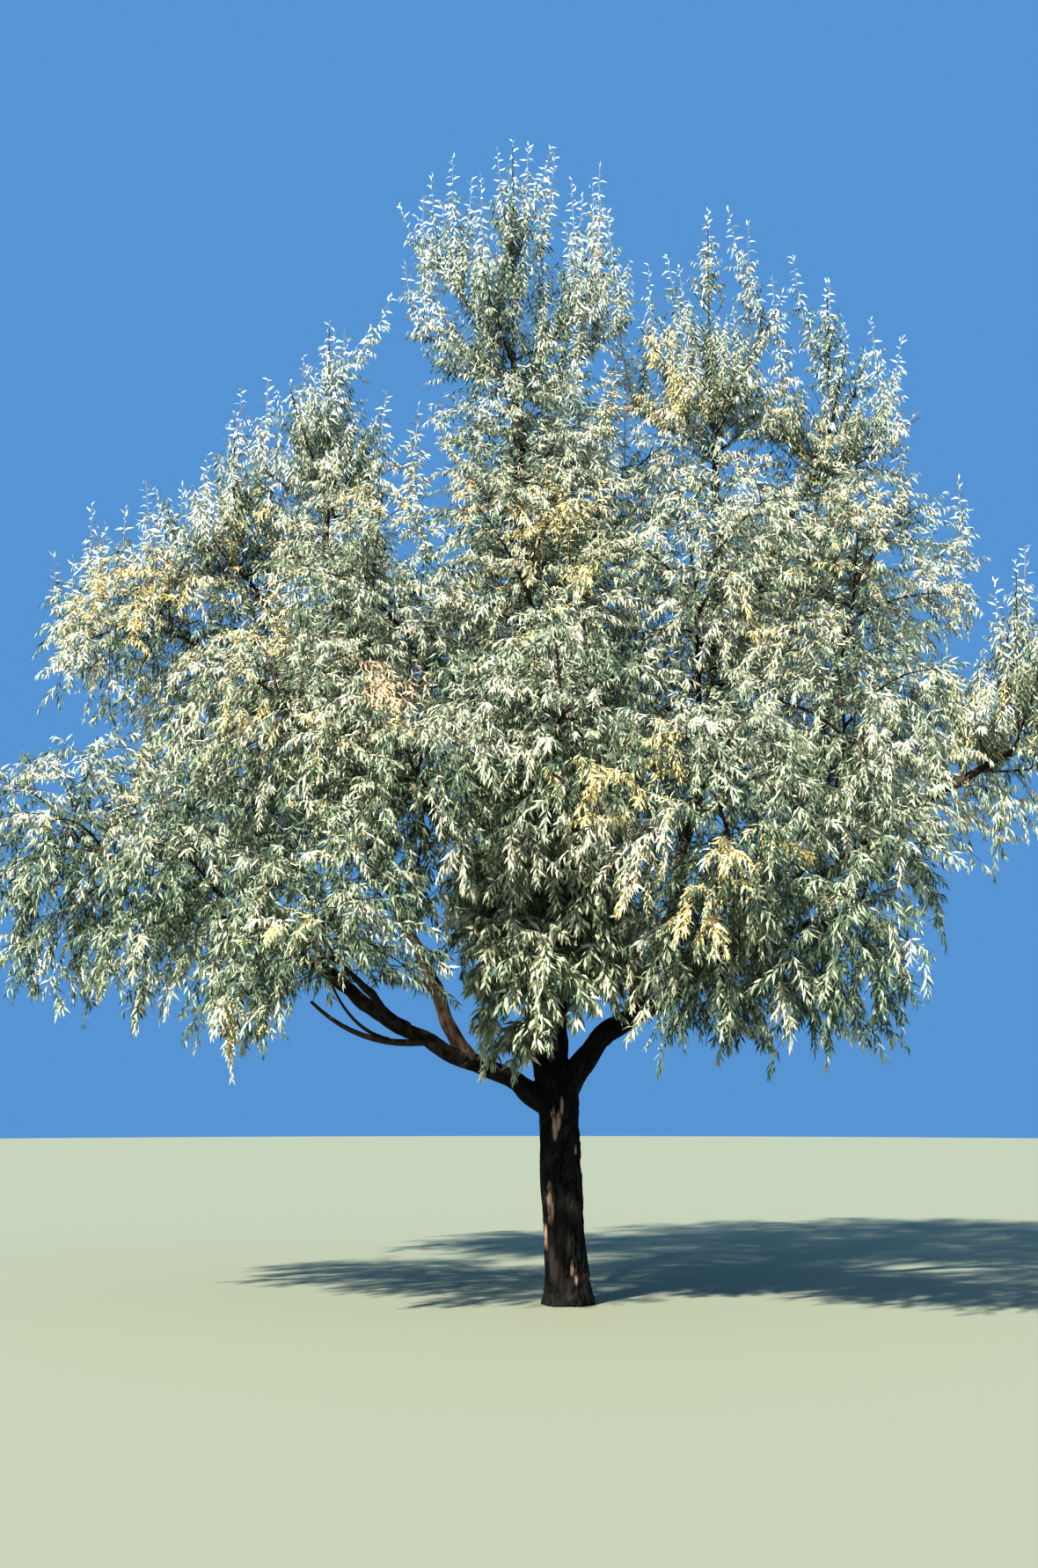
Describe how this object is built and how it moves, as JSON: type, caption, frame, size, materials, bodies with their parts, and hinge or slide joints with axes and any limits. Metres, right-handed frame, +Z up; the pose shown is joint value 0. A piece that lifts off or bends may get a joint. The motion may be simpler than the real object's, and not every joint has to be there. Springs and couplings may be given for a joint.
{
  "type": "russian olive tree",
  "caption": "Whole russian olive tree: a short dark trunk that forks low, spreading boughs and a silvery crown of narrow leaves.",
  "frame": {"origin": "middle of the flat cut under the trunk, at ground level", "axes": "+X to the right of the picture, +Y away from its camera, +Z straight up"},
  "size_m": [8.4078, 6.7475, 8.5359],
  "materials": {
    "bark": "rough, deeply furrowed and shaggy",
    "silver_shoots": "matt, with silvery scales",
    "silver_green_foliage": "matt, with silvery scales",
    "grey_green_foliage": "matt, with silvery scales"
  },
  "bodies": {
    "root": {"trunk": "bark", "top_column_bough": "bark", "top_skirt_bough": "bark", "left_heart_bough": "bark", "centre_high_bough": "bark", "left_outer_bough": "bark", "left_face_bough": "bark", "left_inner_face_bough": "bark", "centre_face_bough": "bark", "left_low_far_bough": "bark", "left_top_bough": "bark", "left_shoulder_bough": "bark", "left_low_mid_bough": "bark", "left_low_front_bough": "bark", "right_outer_bough": "bark", "right_top_inner_bough": "bark", "right_top_outer_bough": "bark", "right_heart_bough": "bark", "right_shoulder_bough": "bark", "right_face_bough": "bark", "right_low_front_bough": "bark", "right_inner_face_bough": "bark", "right_low_inner_bough": "bark", "back_top_bough": "bark", "back_left_high_bough": "bark", "back_left_low_bough": "bark", "back_right_high_bough": "bark", "back_right_low_bough": "bark", "back_face_bough": "bark", "back_low_bough": "bark", "top_column_foliage": "silver_shoots", "top_skirt_foliage": "silver_green_foliage", "left_heart_foliage": "silver_green_foliage", "centre_high_foliage": "silver_green_foliage", "left_outer_foliage": "grey_green_foliage", "left_face_foliage": "grey_green_foliage", "left_inner_face_foliage": "grey_green_foliage", "centre_face_foliage": "grey_green_foliage", "left_low_far_foliage": "grey_green_foliage", "left_top_foliage": "silver_shoots", "left_shoulder_foliage": "silver_shoots", "left_low_mid_foliage": "grey_green_foliage", "left_low_front_foliage": "grey_green_foliage", "right_outer_foliage": "silver_shoots", "right_top_inner_foliage": "silver_shoots", "right_top_outer_foliage": "silver_shoots", "right_heart_foliage": "silver_green_foliage", "right_shoulder_foliage": "silver_green_foliage", "right_face_foliage": "grey_green_foliage", "right_low_front_foliage": "grey_green_foliage", "right_inner_face_foliage": "grey_green_foliage", "right_low_inner_foliage": "grey_green_foliage", "back_top_foliage": "silver_green_foliage", "back_left_high_foliage": "silver_green_foliage", "back_left_low_foliage": "grey_green_foliage", "back_right_high_foliage": "silver_green_foliage", "back_right_low_foliage": "grey_green_foliage", "back_face_foliage": "grey_green_foliage", "back_low_foliage": "grey_green_foliage", "fork_sprout_foliage": "grey_green_foliage"}
  },
  "joints": []
}
